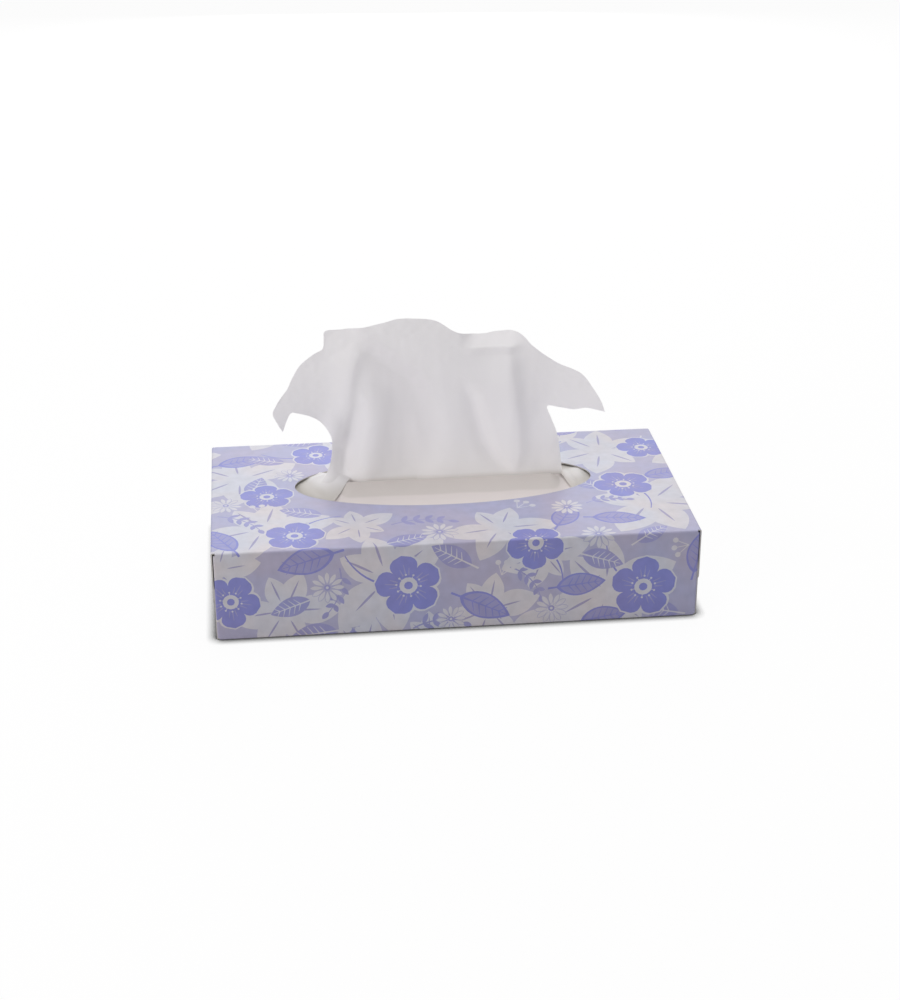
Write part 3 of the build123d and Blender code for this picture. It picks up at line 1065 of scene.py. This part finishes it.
def floor_material():
    """Pale floor that the camera sees as white, with a share of the real shading kept and
    a contact shadow, painted from ambient occlusion, where something stands on it."""
    material, tree, shader = new_material("floor")
    shader.inputs["Base Color"].default_value = (0.65, 0.64, 0.64, 1)
    shader.inputs["Roughness"].default_value = 0.9
    shader.inputs["Specular IOR Level"].default_value = 0.0
    # Painted contact shadow: ambient occlusion near the box dims the white that the camera sees.
    nearby = add_node(tree, "ShaderNodeAmbientOcclusion", samples=8)
    nearby.inputs["Distance"].default_value = 0.0055
    contact = add_node(tree, "ShaderNodeMapRange")
    contact.inputs["From Min"].default_value = 0.5
    contact.inputs["To Min"].default_value = 0.04
    contact.inputs["To Max"].default_value = 1.04
    white = add_node(tree, "ShaderNodeEmission")
    tree.links.new(nearby.outputs["AO"], contact.inputs["Value"])
    tree.links.new(contact.outputs["Result"], white.inputs["Strength"])
    path = add_node(tree, "ShaderNodeLightPath")
    white_share = add_node(tree, "ShaderNodeMath", operation="MULTIPLY")
    white_share.inputs[1].default_value = 0.9
    mix = add_node(tree, "ShaderNodeMixShader")
    tree.links.new(path.outputs["Is Camera Ray"], white_share.inputs[0])
    tree.links.new(white_share.outputs[0], mix.inputs["Fac"])
    tree.links.new(shader.outputs["BSDF"], mix.inputs[1])
    tree.links.new(white.outputs["Emission"], mix.inputs[2])
    tree.links.new(mix.outputs["Shader"], tree.nodes["Material Output"].inputs["Surface"])
    return material


def make_floor():
    """A square floor, wider than the photograph's view."""
    half = 5.0
    corners = [(-half, -half, 0), (half, -half, 0), (half, half, 0), (-half, half, 0)]
    mesh = bpy.data.meshes.new("floor")
    mesh.from_pydata(corners, [], [(0, 1, 2, 3)])
    mesh.materials.append(floor_material())
    floor = new_object("floor", mesh)


def make_world(level):
    """Even studio light, with plain white where the camera or a gloss looks past the floor."""
    world = bpy.data.worlds.new("studio")
    world.use_nodes = True
    bpy.context.scene.world = world
    tree = world.node_tree
    light = tree.nodes["Background"]
    light.inputs["Color"].default_value = (1, 1, 1, 1)
    light.inputs["Strength"].default_value = level
    white = add_node(tree, "ShaderNodeBackground")
    white.inputs["Color"].default_value = (1, 1, 1, 1)
    path = add_node(tree, "ShaderNodeLightPath")
    either = add_node(tree, "ShaderNodeMath", operation="MAXIMUM")
    mix = add_node(tree, "ShaderNodeMixShader")
    tree.links.new(path.outputs["Is Camera Ray"], either.inputs[0])
    tree.links.new(path.outputs["Is Glossy Ray"], either.inputs[1])
    tree.links.new(either.outputs[0], mix.inputs["Fac"])
    tree.links.new(light.outputs[0], mix.inputs[1])
    tree.links.new(white.outputs[0], mix.inputs[2])
    tree.links.new(mix.outputs[0], tree.nodes["World Output"].inputs["Surface"])


def area_light(name, place, aim, size, power, tint=(1, 1, 1)):
    """A round lamp at a place, aimed at a point. The power is in watts."""
    lamp = bpy.data.lights.new(name, "AREA")
    lamp.color = tint
    lamp.shape = "DISK"
    lamp.size = size
    lamp.energy = power
    holder = new_object(name, lamp)
    holder.location = place
    holder.rotation_euler = (Vector(aim) - Vector(place)).to_track_quat("-Z", "Y").to_euler()


def make_camera():
    """The photograph's view: place in metres, yaw, pitch and roll in degrees."""
    place = (-0.08943, -0.84957, 0.43643)
    yaw, pitch, roll = 6.166, 25.017, -0.068
    camera = bpy.data.cameras.new("camera")
    camera.lens = 68.38
    camera.sensor_width = 36.0
    camera.sensor_fit = "AUTO"
    camera.clip_start = 0.01
    camera.clip_end = 50.0
    holder = new_object("camera", camera)
    holder.location = place
    turn = Euler((math.radians(90 - pitch), 0, math.radians(-yaw)), "XYZ").to_matrix()
    turn = turn @ Euler((0, 0, math.radians(roll)), "XYZ").to_matrix()
    holder.rotation_euler = turn.to_euler()
    bpy.context.scene.camera = holder


def dress_nodes():
    """Materials of the CAD nodes that stay as they are."""
    for node, material in (("carton", board_material()), ("tissue_pack", pack_material())):
        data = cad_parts[node].data
        data.materials.clear()
        data.materials.append(material)


make_camera()
make_floor()
make_world(level=0.4)
area_light("key_light", place=(0.05, 0.25, 1.5), aim=(0, 0, 0.05), size=1.3, power=10)
area_light("side_light", place=(-1.2, -0.9, 0.7), aim=(0, 0, 0.08), size=0.5, power=6.5,
           tint=(1, 0.97, 0.96))
area_light("back_light", place=(0.1, 1.4, 0.35), aim=(0, 0, 0.09), size=0.8, power=7)
bpy.context.scene.view_settings.view_transform = "Standard"

dress_nodes()

skin = carton_print()
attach(skin, "root")

standing_grid, standing_doubled_and_shaded = standing_part()
# Painted shade: the darker low colour on the lying parts in the opening and at the foot, and less light
# through where the folds lie in shade.
drawn_paper = tissue_material("tissue", low=(212, 207, 200), high=(252, 250, 251),
                              heights=(0.0425, 0.0467), through=0.33, through_doubled_and_shaded=0.16)
drawn_sheet = grid_mesh("drawn_tissue_sheet", [standing_grid, *lying_part()], drawn_paper, standing_doubled_and_shaded)
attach(drawn_sheet, "root")
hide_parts("drawn_tissue")

# Painted shade: the darker high colour on the ridge that the drawn tissue lifts, just in front of its foot.
next_paper = tissue_material("next_tissue", low=(241, 233, 231), high=(228, 221, 217),
                             heights=(0.0429, 0.0434), through=0.1, through_doubled_and_shaded=0.1)
lower_sheet = grid_mesh("next_tissue_sheet", [next_sheet()], next_paper)
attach(lower_sheet, "root")
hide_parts("next_tissue")
